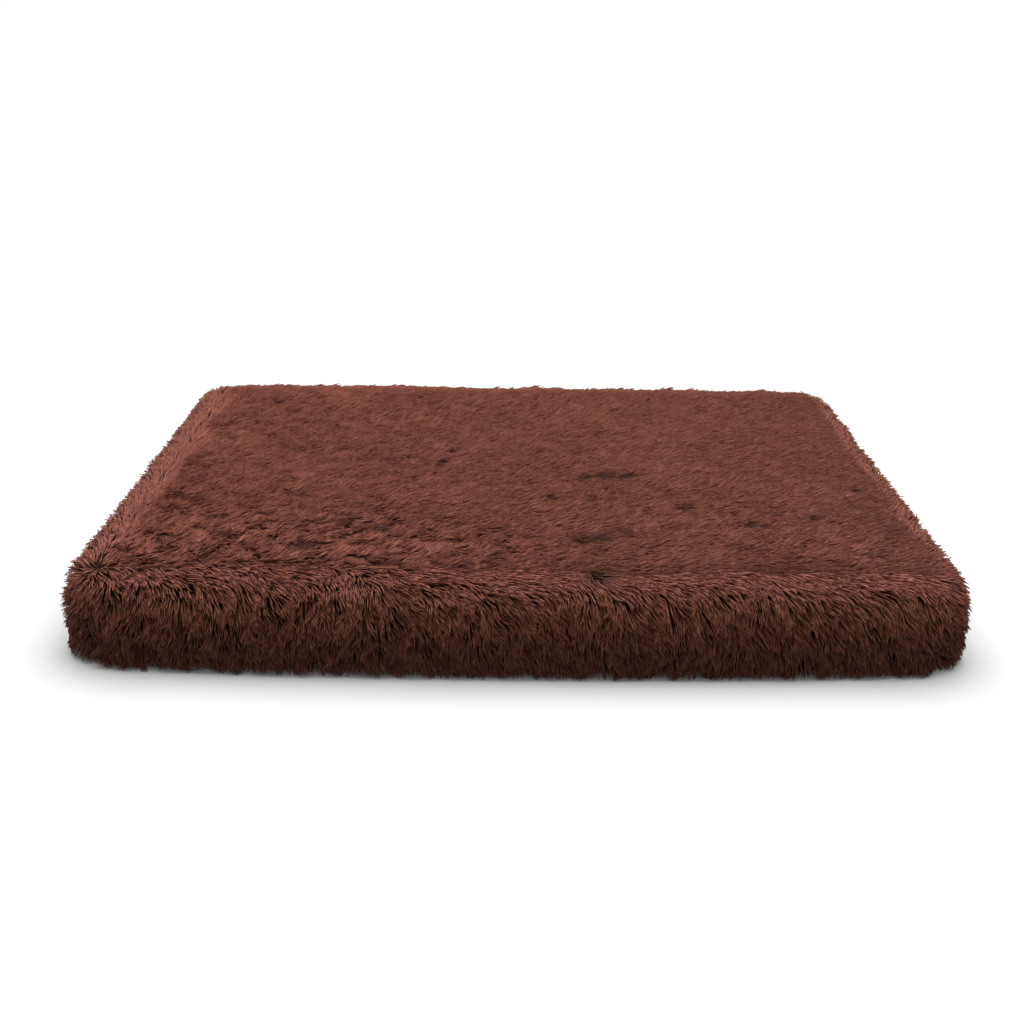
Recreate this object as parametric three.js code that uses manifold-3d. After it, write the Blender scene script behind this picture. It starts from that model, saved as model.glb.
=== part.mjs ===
// A pet cushion bed: a rectangular foam mattress in a zip-off cover of long-pile faux fur.
//
// Millimetres, +Z up. The origin is on the floor under the middle of the bed, +X runs along the
// long side and -Y is the front. Everything is built outwards from the foam: foam, liner, cover
// cloth, pile. The zip lies in the back of the cover, low down, under the overhang of the fur.

import * as THREE from 'three';
import { mergeVertices } from 'three/addons/utils/BufferGeometryUtils.js';
import Module from 'manifold-3d';

const wasm = await Module();
wasm.setup();

// ---- Driving dimensions ----

// The foam filling is two layers, one flat and one convoluted.
const foamWidth = 914;
const foamDepth = 686;
const foamCornerRadius = 40;
const supportFoamHeight = 51;
const comfortFoamHeight = 25;
const comfortFoamFloor = 11;
const bumpPitch = 51;

// Cloths and the pile that stands on them
const linerThickness = 0.8;
const canvasThickness = 1.2;
const furBackingThickness = 1.2;
const topPileLoft = 26;
const sidePileLoft = 21;
const shoulderRadius = 52;
const footRadius = 6;

// Ease between layers: how much bigger each layer is than the one it holds, on each side
const foamEase = 0.4;
const coverEase = 2;
const seamGap = 0.4;

// The zip and the panel that it opens
const zipPanelMargin = 17;
const zipHeight = 34;
const endTabWidth = 45;
const tapeThickness = 0.6;
const tapeWidth = 16;
const coilWidth = 2.4;
const coilDepth = 2.2;
const coilSpacing = 1.6;
const stopLength = 2.4;
const stopGap = 0.6;

// The slider and its pull tab
const sliderLength = 14;
const sliderPlate = 1.2;
const sliderFlange = 1;
const sliderClearance = 0.4;
const sliderPostLength = 4;
const sliderPostInset = 2;
const sliderCornerRadius = 2.5;
const archLength = 9.2;
const archWidth = 2.2;
const archBar = 1.5;
const archOpening = 3.4;
const pullTabLength = 24;
const pullTabWidth = 8;
const pullTabThickness = 1.3;
const pullTabEyeArm = 1.6;
const pullTabEyeClearance = 0.5;

// The care label
const labelWidth = 34;
const labelHeight = 40;
const labelThickness = 0.4;
const labelCornerRadius = 1.5;

// How finely curves are cut
const cornerSteps = 5;
const shoulderSteps = 8;
const layGap = 0.3;

// ---- Levels and outlines that follow from them ----

// The zip panel ends short of where the back wall starts to turn round its corners.
const zipPanelWidth = foamWidth - 2 * (foamCornerRadius + zipPanelMargin);

const linerReach = foamEase + linerThickness;
const coverReach = linerReach + coverEase;
const pileReach = coverReach + furBackingThickness + sidePileLoft;

const linerBottom = canvasThickness + seamGap;
const foamBottom = linerBottom + linerThickness + foamEase;
const comfortBottom = foamBottom + supportFoamHeight + foamEase;
const foamTop = comfortBottom + comfortFoamHeight;
const linerTop = foamTop + foamEase + linerThickness;
const topPanelBottom = linerTop + 2 * seamGap;
const bedHeight = topPanelBottom + furBackingThickness + topPileLoft;

const backWall = foamDepth / 2 + coverReach;
const tapeTop = zipHeight + coilSpacing / 2 + tapeWidth;
const tapeBottom = zipHeight - coilSpacing / 2 - tapeWidth;
const zipHalfLength = zipPanelWidth / 2 - endTabWidth;
const coilBack = tapeThickness + layGap;
const coilFront = coilBack + coilDepth;
const sliderFaceOut = coilFront + sliderClearance + sliderPlate;
const pullPivotOut = sliderFaceOut + archOpening / 2;
const sliderRestX = zipHalfLength - stopLength - stopGap - sliderLength / 2;

// ---- Small tools ----

// A closed three.js geometry as a solid that can be cut and joined.
function solidFrom(geometry) {
  const bare = geometry.clone();
  bare.deleteAttribute('normal');
  bare.deleteAttribute('uv');
  const merged = mergeVertices(bare, 1e-4);
  return new wasm.Manifold(new wasm.Mesh({
    numProp: 3,
    vertProperties: new Float32Array(merged.attributes.position.array),
    triVerts: new Uint32Array(merged.index.array),
  }));
}

// A solid as a geometry again, for a mesh.
function geometryFrom(solid) {
  const mesh = solid.getMesh();
  const geometry = new THREE.BufferGeometry();
  const positions = new Float32Array(mesh.vertProperties);
  geometry.setAttribute('position', new THREE.BufferAttribute(positions, 3));
  geometry.setIndex(new THREE.BufferAttribute(new Uint32Array(mesh.triVerts), 1));
  geometry.computeVertexNormals();
  return geometry;
}

// A rectangle with round corners, centred on the origin.
function roundedRectangle(width, height, radius) {
  const x = width / 2 - radius;
  const y = height / 2 - radius;
  const shape = new THREE.Shape();
  shape.moveTo(-x, -y - radius);
  shape.lineTo(x, -y - radius);
  shape.absarc(x, -y, radius, -Math.PI / 2, 0, false);
  shape.absarc(x, y, radius, 0, Math.PI / 2, false);
  shape.absarc(-x, y, radius, Math.PI / 2, Math.PI, false);
  shape.absarc(-x, -y, radius, Math.PI, Math.PI * 1.5, false);
  return shape;
}

// A shape in X and Y, raised from one height to another.
function prism(shape, bottom, top) {
  const options = { depth: top - bottom, bevelEnabled: false, curveSegments: cornerSteps };
  return new THREE.ExtrudeGeometry(shape, options).translate(0, 0, bottom);
}

// The foam's outline, moved outwards by the layers around it.
function foamOutline(reach) {
  return roundedRectangle(foamWidth + 2 * reach, foamDepth + 2 * reach, foamCornerRadius + reach);
}

function foamPrism(reach, bottom, top) {
  return solidFrom(prism(foamOutline(reach), bottom, top));
}

// A box given by its lowest and highest corners.
function boxBetween(low, high) {
  const size = new THREE.Vector3().subVectors(high, low);
  const middle = new THREE.Vector3().addVectors(low, high).multiplyScalar(0.5);
  return new THREE.BoxGeometry(size.x, size.y, size.z).translate(middle.x, middle.y, middle.z);
}

// A shape in X and Z, given thickness along +Y from a starting depth.
function slabFacingBack(shape, start, thickness) {
  const options = { depth: thickness, bevelEnabled: false, curveSegments: cornerSteps };
  return new THREE.ExtrudeGeometry(shape, options).rotateX(Math.PI / 2)
    .translate(0, start + thickness, 0);
}

const bed = new THREE.Group();

function addPart(name, geometry, material, parent = bed) {
  const mesh = new THREE.Mesh(geometry, material);
  mesh.name = name;
  parent.add(mesh);
  return mesh;
}

// ---- Materials ----

function cloth(color) {
  return new THREE.MeshStandardMaterial({ color, roughness: 0.95, metalness: 0 });
}

const topFur = cloth('#6b4136');
const sideFur = cloth('#54322a');
const canvas = cloth('#3a2a25');
const tapeCloth = cloth('#3b2621');
const linerCloth = cloth('#d9d6cf');
const labelSatin = cloth('#ece9e1');
const supportFoamMaterial = cloth('#e9d9a8');
const comfortFoamMaterial = cloth('#c9d6e2');
const nylon = new THREE.MeshStandardMaterial({ color: '#3d2822', roughness: 0.45, metalness: 0 });
const zinc = new THREE.MeshStandardMaterial({ color: '#6e5a4c', roughness: 0.35, metalness: 1 });

// ---- The cover's outer form: the envelope of the pile ----

// A ring of the envelope: the outer outline drawn in by an inset, at one height.
function envelopeRing(inset, height) {
  const outline = foamOutline(pileReach - inset);
  return outline.getPoints(cornerSteps).slice(0, -1).map((p) => [p.x, p.y, height]);
}

// Rings from the foot to the shoulder. Both edges are quarter circles seen from the side.
function envelopeRings() {
  const rings = [];
  const base = canvasThickness + seamGap;
  for (let step = 0; step <= 3; step += 1) {
    const angle = (step / 3) * Math.PI / 2;
    rings.push(envelopeRing(footRadius * (1 - Math.sin(angle)), base + footRadius * (1 - Math.cos(angle))));
  }
  for (let step = 0; step <= shoulderSteps; step += 1) {
    const angle = (step / shoulderSteps) * Math.PI / 2;
    const inset = shoulderRadius * (1 - Math.cos(angle));
    rings.push(envelopeRing(inset, bedHeight - shoulderRadius * (1 - Math.sin(angle))));
  }
  return rings;
}

// The closed skin over a stack of rings, with a flat cap at each end.
function skinOver(rings) {
  const count = rings[0].length;
  const positions = rings.flat(2);
  const index = [];
  for (let ring = 0; ring < rings.length - 1; ring += 1) {
    for (let side = 0; side < count; side += 1) {
      const a = ring * count + side;
      const b = ring * count + (side + 1) % count;
      index.push(a, b, b + count, a, b + count, a + count);
    }
  }
  const last = (rings.length - 1) * count;
  for (let side = 1; side < count - 1; side += 1) {
    index.push(0, side + 1, side);
    index.push(last, last + side, last + side + 1);
  }
  const geometry = new THREE.BufferGeometry();
  geometry.setAttribute('position', new THREE.Float32BufferAttribute(positions, 3));
  geometry.setIndex(index);
  return solidFrom(geometry);
}

const envelope = skinOver(envelopeRings());

// A region of the plan, as a tall prism that picks one panel out of the envelope.
function planRegion(points, bottom, top) {
  const shape = new THREE.Shape(points.map(([x, y]) => new THREE.Vector2(x, y)));
  return solidFrom(prism(shape, bottom, top));
}

// ---- The fur panels ----

// The top panel: backing and pile over the whole filling, with a rounded shoulder.
function topFurPanel() {
  const reach = foamWidth + foamDepth;
  const above = boxBetween(
    new THREE.Vector3(-reach, -reach, topPanelBottom),
    new THREE.Vector3(reach, reach, bedHeight + shoulderRadius),
  );
  return envelope.intersect(solidFrom(above));
}

// The wall of fur around the filling, before it is cut into panels.
function furWallAround() {
  const reach = foamWidth + foamDepth;
  const below = boxBetween(
    new THREE.Vector3(-reach, -reach, 0),
    new THREE.Vector3(reach, reach, topPanelBottom - seamGap),
  );
  return envelope.intersect(solidFrom(below)).subtract(foamPrism(coverReach, -bedHeight, 2 * bedHeight));
}

const furWall = furWallAround();

// Corner seams run out at 45 degrees from the centres of the corner arcs.
const cornerX = foamWidth / 2 - foamCornerRadius;
const cornerY = foamDepth / 2 - foamCornerRadius;
const cornerRun = foamCornerRadius + 2 * pileReach;

// A thin upright slice that opens a corner seam at one front corner.
function cornerSeamCut(side) {
  const length = 2 * cornerRun;
  const slice = new THREE.BoxGeometry(length, seamGap, 3 * bedHeight)
    .rotateZ(side * -Math.PI / 4)
    .translate(side * cornerX, -cornerY, 0);
  return solidFrom(slice);
}

const seamCuts = cornerSeamCut(-1).add(cornerSeamCut(1));

function frontFurBoxing() {
  const region = planRegion([
    [-cornerX, -cornerY],
    [-cornerX - cornerRun, -cornerY - cornerRun],
    [cornerX + cornerRun, -cornerY - cornerRun],
    [cornerX, -cornerY],
  ], 0, bedHeight);
  return furWall.intersect(region).subtract(seamCuts);
}

// A side panel runs from its front corner seam round the back corner to the zip panel.
function sideFurBoxing(side) {
  const panelEnd = zipPanelWidth / 2 + seamGap;
  const points = [
    [side * cornerX, -cornerY],
    [side * (cornerX + cornerRun), -cornerY - cornerRun],
    [side * (cornerX + cornerRun), cornerY + cornerRun],
    [side * panelEnd, cornerY + cornerRun],
    [side * panelEnd, cornerY],
    [side * cornerX, cornerY],
  ];
  return furWall.intersect(planRegion(points, 0, bedHeight)).subtract(seamCuts);
}

// The strip of fur above the zip.
function backFurStrip() {
  const band = boxBetween(
    new THREE.Vector3(-zipPanelWidth / 2, cornerY, tapeTop + seamGap),
    new THREE.Vector3(zipPanelWidth / 2, cornerY + cornerRun, bedHeight),
  );
  return furWall.intersect(solidFrom(band));
}

addPart('top_fur_panel', geometryFrom(topFurPanel()), topFur);
addPart('front_fur_boxing', geometryFrom(frontFurBoxing()), sideFur);
addPart('left_fur_boxing', geometryFrom(sideFurBoxing(-1)), sideFur);
addPart('right_fur_boxing', geometryFrom(sideFurBoxing(1)), sideFur);
addPart('back_fur_strip', geometryFrom(backFurStrip()), sideFur);

// ---- The canvas underneath and below the zip ----

const baseReach = coverReach + furBackingThickness;
addPart('base_panel', prism(foamOutline(baseReach), 0, canvasThickness), canvas);

function backLowerFacing() {
  return boxBetween(
    new THREE.Vector3(-zipPanelWidth / 2, backWall, canvasThickness + seamGap),
    new THREE.Vector3(zipPanelWidth / 2, backWall + canvasThickness, tapeBottom - seamGap),
  );
}

addPart('back_lower_facing', backLowerFacing(), canvas);

// ---- The zip: tapes, coils, stops and end tabs, in a group on the back wall ----

// In this group Y is measured outwards from the back wall and Z from the middle of the zip.
const zip = new THREE.Group();
zip.position.set(0, backWall, zipHeight);
bed.add(zip);

const zipRows = [
  { name: 'upper', side: 1 },
  { name: 'lower', side: -1 },
];

// A tape is as long as the zip panel and stops short of its partner by the coil spacing.
function zipTape(side) {
  const middle = side * (coilSpacing + tapeWidth) / 2;
  return new THREE.BoxGeometry(zipPanelWidth, tapeThickness, tapeWidth)
    .translate(0, tapeThickness / 2, middle);
}

// The outer form of one row of coil, with a rounded back.
function zipCoil(side) {
  const length = 2 * (zipHalfLength - stopLength - stopGap);
  const section = new THREE.Shape();
  const round = coilWidth / 2;
  section.moveTo(-round, 0);
  section.lineTo(round, 0);
  section.lineTo(round, coilDepth - round);
  section.absarc(0, coilDepth - round, round, 0, Math.PI, false);
  const options = { depth: length, bevelEnabled: false, curveSegments: 6 };
  return new THREE.ExtrudeGeometry(section, options)
    .rotateY(Math.PI / 2)
    .translate(-length / 2, coilBack, side * (coilSpacing + coilWidth) / 2);
}

// A stop is a small crimped block in line with the coil.
function zipStop(low, high) {
  return boxBetween(
    new THREE.Vector3(-stopLength / 2, coilBack, low),
    new THREE.Vector3(stopLength / 2, coilFront, high),
  );
}

for (const { name, side } of zipRows) {
  addPart(`${name}_zip_tape`, zipTape(side), tapeCloth, zip);
  addPart(`${name}_zip_coil`, zipCoil(side), nylon, zip);
  const near = side * coilSpacing / 2;
  const far = side * (coilSpacing / 2 + coilWidth);
  const stop = addPart(`${name}_top_stop`, zipStop(Math.min(near, far), Math.max(near, far)), zinc, zip);
  stop.position.x = zipHalfLength - stopLength / 2;
}

const chainHalf = coilSpacing / 2 + coilWidth;
const bottomStop = addPart('bottom_stop', zipStop(-chainHalf, chainHalf), zinc, zip);
bottomStop.position.x = -zipHalfLength + stopLength / 2;

// An end tab is a cloth patch over the ends of both tapes.
function zipEndTab(side) {
  const height = 2 * tapeWidth + coilSpacing;
  return new THREE.BoxGeometry(endTabWidth - layGap, canvasThickness, height)
    .translate(side * (zipHalfLength + (endTabWidth + layGap) / 2), coilBack + canvasThickness / 2, 0);
}

addPart('left_zip_end_tab', zipEndTab(-1), canvas, zip);
addPart('right_zip_end_tab', zipEndTab(1), canvas, zip);

// The care label hangs over the right end tab from the seam above the zip.
function careLabel() {
  const start = coilBack + canvasThickness + layGap;
  const top = coilSpacing / 2 + tapeWidth;
  const middle = zipHalfLength + endTabWidth / 2 + layGap;
  return slabFacingBack(roundedRectangle(labelWidth, labelHeight, labelCornerRadius), start, labelThickness)
    .translate(middle, 0, top - labelHeight / 2);
}

addPart('care_label', careLabel(), labelSatin, zip);

// ---- The slider and its pull tab ----

// Two plates with flanges that hold the coils, joined by a post that runs between the rows.
function sliderBody() {
  const inner = chainHalf + sliderClearance;
  const outer = inner + sliderFlange;
  const half = sliderLength / 2;
  const back = -sliderClearance;
  const front = coilFront + sliderClearance;
  const plateShape = roundedRectangle(sliderLength, 2 * outer, sliderCornerRadius);
  const frontPlate = solidFrom(slabFacingBack(plateShape, front, sliderPlate));
  const backPlate = solidFrom(slabFacingBack(plateShape, back - sliderPlate, sliderPlate));
  const postHalf = coilSpacing / 2 - sliderClearance;
  const post = solidFrom(boxBetween(
    new THREE.Vector3(half - sliderPostInset - sliderPostLength, back - sliderPlate / 2, -postHalf),
    new THREE.Vector3(half - sliderPostInset, front + sliderPlate / 2, postHalf),
  ));
  let body = frontPlate.add(backPlate).add(post);
  for (const side of [-1, 1]) {
    const flange = boxBetween(
      new THREE.Vector3(-half + sliderCornerRadius, tapeThickness + sliderClearance, Math.min(side * inner, side * outer)),
      new THREE.Vector3(half - sliderCornerRadius, front + sliderPlate / 2, Math.max(side * inner, side * outer)),
    );
    body = body.add(solidFrom(flange));
  }
  return body.add(sliderArch());
}

// The arch that the pull tab's eye turns in: a bent bar over the front plate.
function sliderArch() {
  const rise = archOpening + archBar;
  const half = archLength / 2;
  const bar = new THREE.Shape();
  bar.moveTo(-half, -sliderPlate / 2);
  bar.lineTo(half, -sliderPlate / 2);
  bar.lineTo(half, rise - archBar);
  bar.absarc(half - archBar, rise - archBar, archBar, 0, Math.PI / 2, false);
  bar.lineTo(-half + archBar, rise);
  bar.absarc(-half + archBar, rise - archBar, archBar, Math.PI / 2, Math.PI, false);
  const opening = new THREE.Path();
  const inside = half - archBar;
  opening.moveTo(-inside, 0);
  opening.lineTo(-inside, archOpening);
  opening.lineTo(inside, archOpening);
  opening.lineTo(inside, 0);
  bar.holes.push(opening);
  const options = { depth: archWidth, bevelEnabled: false, curveSegments: 4 };
  const arch = new THREE.ExtrudeGeometry(bar, options).translate(0, sliderFaceOut, -archWidth / 2);
  return solidFrom(arch);
}

// The tab lies along -X from its pivot. Its eye is a window around one leg of the arch.
function pullTab() {
  const eyeHalf = archWidth / 2 + pullTabEyeClearance;
  const armHalf = eyeHalf + pullTabEyeArm;
  const pinHalf = pullTabThickness / 2;
  const legReach = Math.hypot(archLength / 2, archOpening / 2 + archBar);
  const eyeEnd = legReach + pullTabEyeClearance;
  const round = pullTabWidth / 2;
  const outline = new THREE.Shape();
  outline.moveTo(pinHalf, -armHalf);
  outline.lineTo(pinHalf, armHalf);
  outline.lineTo(-eyeEnd, armHalf);
  outline.lineTo(-pullTabLength + round, round);
  outline.absarc(-pullTabLength + round, 0, round, Math.PI / 2, Math.PI * 1.5, false);
  outline.lineTo(-eyeEnd, -armHalf);
  const eye = new THREE.Path();
  eye.moveTo(-pinHalf, -eyeHalf);
  eye.lineTo(-eyeEnd, -eyeHalf);
  eye.lineTo(-eyeEnd, eyeHalf);
  eye.lineTo(-pinHalf, eyeHalf);
  outline.holes.push(eye);
  return slabFacingBack(outline, -pullTabThickness / 2, pullTabThickness);
}

const slider = new THREE.Group();
slider.position.set(sliderRestX, 0, 0);
zip.add(slider);
addPart('zip_slider_body', geometryFrom(sliderBody()), zinc, slider);
const tab = addPart('zip_pull_tab', pullTab(), zinc, slider);
tab.position.set(0, pullPivotOut, 0);

// ---- The filling: liner and two layers of foam ----

function linerCover() {
  const shell = foamPrism(linerReach, linerBottom + linerThickness + layGap, linerTop);
  return shell.subtract(foamPrism(foamEase, 0, foamTop + foamEase));
}

// Foam with rows of bumps and dimples, half a pitch apart, on a flat bottom.
// It is shaped on a block one cell larger all round, and then trimmed to the outline.
function comfortFoam() {
  const across = Math.round(2 * foamWidth / bumpPitch);
  const deep = Math.round(2 * foamDepth / bumpPitch);
  const cellX = foamWidth / across;
  const cellY = foamDepth / deep;
  const block = new THREE.BoxGeometry(
    foamWidth + 2 * cellX,
    foamDepth + 2 * cellY,
    2 * comfortFoamHeight,
    across + 2,
    deep + 2,
    1,
  );
  const places = block.attributes.position;
  const swing = (comfortFoamHeight - comfortFoamFloor) / 2;
  for (let i = 0; i < places.count; i += 1) {
    if (places.getZ(i) > 0) {
      const column = (places.getX(i) + foamWidth / 2) / cellX;
      const row = (places.getY(i) + foamDepth / 2) / cellY;
      const wave = Math.cos(Math.PI * column) * Math.cos(Math.PI * row);
      places.setZ(i, comfortFoamFloor + swing * (1 + wave));
    }
  }
  const trimmed = solidFrom(block).intersect(foamPrism(0, 0, 2 * comfortFoamHeight));
  return trimmed.translate([0, 0, comfortBottom]);
}

addPart('liner_cover', geometryFrom(linerCover()), linerCloth);
addPart('liner_base', prism(foamOutline(linerReach), linerBottom, linerBottom + linerThickness), linerCloth);
addPart('support_foam', prism(foamOutline(0), foamBottom, foamBottom + supportFoamHeight), supportFoamMaterial);
addPart('comfort_foam', geometryFrom(comfortFoam()), comfortFoamMaterial);

export default bed;
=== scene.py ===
# %% [markdown]
# # A pet cushion bed in long-pile faux fur
#
# The bed is a foam mattress inside a zip-off cover. The cover's top and walls are a knitted
# backing with a deep, soft pile, and underneath is a plain canvas with printed grip dots. The
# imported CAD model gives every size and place; this file gives the bed its looks. All lengths
# are in metres, +Z is up, +X runs along the long side and -Y is the front.

import math

import bmesh
import bpy
import numpy as np
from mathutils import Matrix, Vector


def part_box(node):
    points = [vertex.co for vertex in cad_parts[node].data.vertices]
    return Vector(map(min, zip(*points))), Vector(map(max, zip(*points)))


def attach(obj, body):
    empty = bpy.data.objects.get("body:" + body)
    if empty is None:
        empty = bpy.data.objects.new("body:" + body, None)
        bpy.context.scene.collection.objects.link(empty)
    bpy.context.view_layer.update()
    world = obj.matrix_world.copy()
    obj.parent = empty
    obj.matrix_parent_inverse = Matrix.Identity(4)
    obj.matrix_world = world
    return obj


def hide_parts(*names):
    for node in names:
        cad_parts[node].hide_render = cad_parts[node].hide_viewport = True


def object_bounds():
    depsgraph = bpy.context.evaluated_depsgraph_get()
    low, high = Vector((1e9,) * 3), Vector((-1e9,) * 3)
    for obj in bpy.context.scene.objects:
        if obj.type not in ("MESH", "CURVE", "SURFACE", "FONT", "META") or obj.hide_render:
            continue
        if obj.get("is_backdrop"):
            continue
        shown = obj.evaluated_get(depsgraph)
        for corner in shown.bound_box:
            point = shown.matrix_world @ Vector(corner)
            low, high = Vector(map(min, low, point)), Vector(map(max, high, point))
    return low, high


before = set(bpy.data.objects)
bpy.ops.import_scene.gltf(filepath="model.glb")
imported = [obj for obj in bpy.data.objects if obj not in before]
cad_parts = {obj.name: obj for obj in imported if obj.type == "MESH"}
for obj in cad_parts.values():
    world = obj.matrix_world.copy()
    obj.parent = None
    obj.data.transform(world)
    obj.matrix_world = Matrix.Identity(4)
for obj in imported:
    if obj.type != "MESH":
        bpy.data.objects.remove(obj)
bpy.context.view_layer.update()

MM = 0.001
SEED = 4
scene = bpy.context.scene

# %% [markdown]
# ## Small tools
#
# Colours are written as the hex values a designer reads off a swatch. The renderer works in
# linear light, so one function converts them. A second one adds a shader node, sets its inputs
# and links them, which keeps a material down to a few readable lines. The last three are steps
# that most finishes share: a texture in the piece's own metres, a tint from it and a bump.


# %% Colours and shader nodes
def linear(hex_colour):
    """sRGB hex to linear RGBA: c / 12.92 below 0.04045, else ((c + 0.055) / 1.055) ^ 2.4."""
    value = hex_colour.lstrip("#")
    channels = np.array([int(value[i : i + 2], 16) / 255 for i in (0, 2, 4)])
    low, high = channels / 12.92, ((channels + 0.055) / 1.055) ** 2.4
    return (*np.where(channels <= 0.04045, low, high), 1.0)


def add_node(tree, kind, settings=None, inputs=None):
    """Add a node; inputs that are sockets are linked, and anything else is set as a value."""
    node = tree.nodes.new(kind)
    for name, value in (settings or {}).items():
        setattr(node, name, value)
    for name, value in (inputs or {}).items():
        if isinstance(value, bpy.types.NodeSocket):
            tree.links.new(value, node.inputs[name])
        else:
            node.inputs[name].default_value = value
    return node


def ramp(tree, factor, stops):
    """The colour that a factor has on a ramp of stops, each (position, hex colour)."""
    node = add_node(tree, "ShaderNodeValToRGB", inputs={"Fac": factor})
    elements = node.color_ramp.elements
    while len(elements) < len(stops):
        elements.new(0.5)
    for element, (position, colour) in zip(elements, stops):
        element.position = position
        element.color = linear(colour)
    return node.outputs["Color"]


def new_material(name, colour, roughness, **more):
    """A material with one Principled shader; returns the material, its tree and the shader."""
    material = bpy.data.materials.new(name)
    material.use_nodes = True
    tree = material.node_tree
    tree.nodes.clear()
    inputs = {"Base Color": linear(colour), "Roughness": roughness}
    inputs |= {key.replace("_", " "): value for key, value in more.items()}
    shader = add_node(tree, "ShaderNodeBsdfPrincipled", inputs=inputs)
    add_node(tree, "ShaderNodeOutputMaterial", inputs={"Surface": shader.outputs["BSDF"]})
    return material, tree, shader


def add_texture(tree, kind, scale, settings=None, **inputs):
    """A texture node that reads the piece's own coordinates, with its scale per metre."""
    where = add_node(tree, "ShaderNodeTexCoord")
    inputs |= {"Vector": where.outputs["Object"], "Scale": scale}
    return add_node(tree, kind, settings, inputs)


def tinted(tree, shader, factor, stops):
    """Colour the shader from a factor, through a ramp."""
    tree.links.new(ramp(tree, factor, stops), shader.inputs["Base Color"])


def bumped(tree, shader, height, depth, strength=0.6):
    """Tilt the shader's normal by the slope of a height, with its depth in metres."""
    bump = add_node(tree, "ShaderNodeBump", inputs={
        "Strength": strength,
        "Distance": depth,
        "Height": height,
    })
    tree.links.new(bump.outputs["Normal"], shader.inputs["Normal"])


# %% [markdown]
# Every new surface is worked out as an array of points and an array of triangles. Rings of
# points stacked along a path make most of the shapes here, closed by a fan at each end.


# %% Meshes from arrays
def add_object(name, data):
    """A new object at the origin, unturned, that holds the data."""
    made = bpy.data.objects.new(name, data)
    scene.collection.objects.link(made)
    return made


def shade_smooth(mesh):
    mesh.polygons.foreach_set("use_smooth", np.ones(len(mesh.polygons), dtype=bool))


def mesh_object(name, points, faces, material, uv=None):
    """Points (n, 3) and triangles (m, 3) as an object; uv has one pair for each face corner."""
    mesh = bpy.data.meshes.new(name)
    faces = np.asarray(faces, dtype=np.int32)
    mesh.vertices.add(len(points))
    mesh.vertices.foreach_set("co", np.asarray(points, dtype=np.float32).ravel())
    mesh.loops.add(faces.size)
    mesh.loops.foreach_set("vertex_index", faces.ravel())
    mesh.polygons.add(len(faces))
    mesh.polygons.foreach_set("loop_start", np.arange(len(faces), dtype=np.int32) * 3)
    if uv is not None:
        layer = mesh.uv_layers.new(name="OFBake")
        layer.data.foreach_set("uv", np.asarray(uv, dtype=np.float32).ravel())
    mesh.update(calc_edges=True)
    mesh.validate()
    shade_smooth(mesh)
    mesh.materials.append(material)
    return add_object(name, mesh)


def skin(rings):
    """Triangles over stacked rings (rows, columns, 3), with a fan to a pole at each end."""
    rows, columns = rings.shape[:2]
    poles = rings[0].mean(0)[None], rings[-1].mean(0)[None]
    points = np.concatenate([poles[0], rings.reshape(-1, 3), poles[1]])
    row, column = np.meshgrid(np.arange(rows - 1), np.arange(columns), indexing="ij")
    a = (1 + row * columns + column).ravel()
    b = (1 + row * columns + (column + 1) % columns).ravel()
    edge = np.arange(columns)
    after = (edge + 1) % columns
    last = 1 + (rows - 1) * columns
    return points, np.concatenate([
        np.stack([a, b, b + columns], 1),
        np.stack([a, b + columns, a + columns], 1),
        np.stack([0 * edge, 1 + after, 1 + edge], 1),
        np.stack([0 * edge + len(points) - 1, last + edge, last + after], 1),
    ])


def repeat(points, faces, places):
    """One small mesh copied to many places, as one array of points and one of faces."""
    moved = points[None] + np.asarray(places)[:, None]
    offset = np.arange(len(places))[:, None, None] * len(points)
    return moved.reshape(-1, 3), (faces[None] + offset).reshape(-1, 3)


def unit(vectors):
    return vectors / np.maximum(np.linalg.norm(vectors, axis=-1, keepdims=True), 1e-9)


def smoothstep(low, high, value):
    """0 below low, 1 above high and 3t^2 - 2t^3 between; low may be above high."""
    share = np.clip((value - low) / (high - low), 0, 1)
    return share * share * (3 - 2 * share)


def waves(places, wavelength, seed, count=12):
    """Smooth noise of about unit size: a sum of sines in random directions."""
    draw = np.random.default_rng(seed)
    direction = unit(draw.normal(size=(count, 3))) * draw.uniform(0.7, 1.4, size=(count, 1))
    phase = draw.uniform(0, 2 * np.pi, size=count)
    turns = places @ direction.T / wavelength * 2 * np.pi + phase
    return np.sin(turns).sum(1) / math.sqrt(count / 2)


def settle_in(piece, body, nodes):
    """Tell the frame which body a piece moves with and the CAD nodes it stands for."""
    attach(piece, body)
    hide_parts(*nodes)
    return piece


# %% [markdown]
# ## Camera, light and floor
#
# The bed is seen from the front and a little above. A broad soft box overhead makes the top
# bright and leaves the front in its own shade, and a weak one in front lets its colour show.
# The floor is a matt white sweep that turns to plain white light further out, so that it runs
# into a white background without an edge.

# %% Camera
camera_data = bpy.data.cameras.new("camera")
camera_data.sensor_width = 36
camera_data.lens = 43.7
camera = add_object("camera", camera_data)
camera.location = (-0.015, -1.498, 0.654)
camera.rotation_euler = [math.radians(angle) for angle in (67.48, -0.75, -0.07)]
scene.camera = camera
scene.view_settings.view_transform = "Standard"


# %% World and lamps
def white_light(tree, strength):
    """An even white surround of a given strength."""
    background = add_node(tree, "ShaderNodeBackground", inputs={
        "Color": linear("#ffffff"),
        "Strength": strength,
    })
    return background.outputs[0]


# The camera sees full white behind the bed, but the light that comes from there is weaker.
ROOM_FILL = 0.45

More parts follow.
